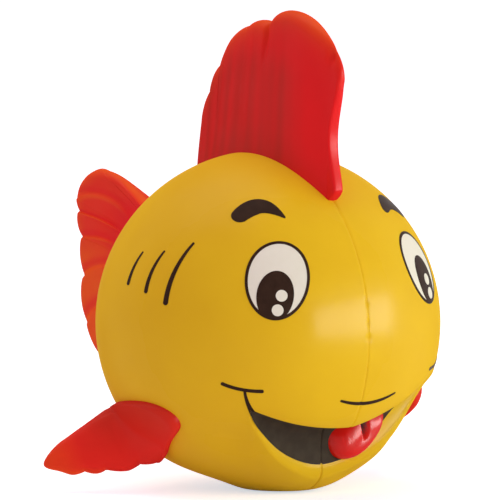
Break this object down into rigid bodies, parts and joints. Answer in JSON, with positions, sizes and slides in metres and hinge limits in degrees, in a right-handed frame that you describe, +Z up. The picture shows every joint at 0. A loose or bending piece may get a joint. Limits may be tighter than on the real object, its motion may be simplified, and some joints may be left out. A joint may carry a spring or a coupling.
{
  "type": "fish stress toy",
  "caption": "Squeezable foam stress toy in the form of a round smiling fish, with soft red fins that bend, a pressed-in mouth, a printed face and a flat belly to stand on.",
  "frame": {"origin": "centre of the flat belly that the toy stands on", "axes": "+Z up, -Y towards the face, +X towards the fish's left side"},
  "size_m": [0.0792, 0.096, 0.0922],
  "materials": {
    "yellow_skin": "satin foam skin",
    "red_skin": "satin foam skin",
    "mouth_paint": "satin paint",
    "tongue_paint": "satin paint",
    "brown_ink": "satin ink",
    "white_ink": "satin ink"
  },
  "bodies": {
    "body": {"foam_body": "yellow_skin", "mouth_lining": "mouth_paint", "tongue": "tongue_paint", "nose_mark": "brown_ink", "tail_fin_root": "red_skin", "right_pectoral_root": "red_skin", "left_pectoral_root": "red_skin", "right_eye_outline": "brown_ink", "right_eye_white": "white_ink", "right_pupil": "brown_ink", "right_catchlights": "white_ink", "right_brow": "brown_ink", "right_gill_marks": "brown_ink", "right_smile_mark": "brown_ink", "left_eye_outline": "brown_ink", "left_eye_white": "white_ink", "left_pupil": "brown_ink", "left_catchlights": "white_ink", "left_brow": "brown_ink", "left_gill_marks": "brown_ink", "left_smile_mark": "brown_ink"},
    "crown": {"dorsal_fin_root": "red_skin"},
    "dorsal_blade": {"dorsal_fin_blade": "red_skin"},
    "tail_blade": {"tail_fin_blade": "red_skin"},
    "right_pectoral": {"right_pectoral_blade": "red_skin"},
    "left_pectoral": {"left_pectoral_blade": "red_skin"}
  },
  "joints": [
    {"name": "squeeze", "type": "slide", "parent": "body", "child": "crown", "axis": [0, 0, -1], "range_m": [0, 0.01], "stiffness_N_per_m": 1500, "deforming": ["foam_body"]},
    {"name": "dorsal_flex", "type": "hinge", "parent": "crown", "child": "dorsal_blade", "pos_m": [0, 0, 0.0686], "axis": [0, 1, 0], "range_deg": [-20, 20], "stiffness_Nm_per_rad": 0.05},
    {"name": "tail_flex", "type": "hinge", "parent": "body", "child": "tail_blade", "pos_m": [0, 0.041, 0.0317], "axis": [0, 0, 1], "range_deg": [-20, 20], "stiffness_Nm_per_rad": 0.05},
    {"name": "right_pectoral_flex", "type": "hinge", "parent": "body", "child": "right_pectoral", "pos_m": [-0.0285, 0.0099, 0.01], "axis": [-0.036, 0.5681, 0.8222], "range_deg": [-20, 20], "stiffness_Nm_per_rad": 0.02},
    {"name": "left_pectoral_flex", "type": "hinge", "parent": "body", "child": "left_pectoral", "pos_m": [0.0285, 0.0099, 0.01], "axis": [-0.036, -0.5681, -0.8222], "range_deg": [-20, 20], "stiffness_Nm_per_rad": 0.02}
  ]
}
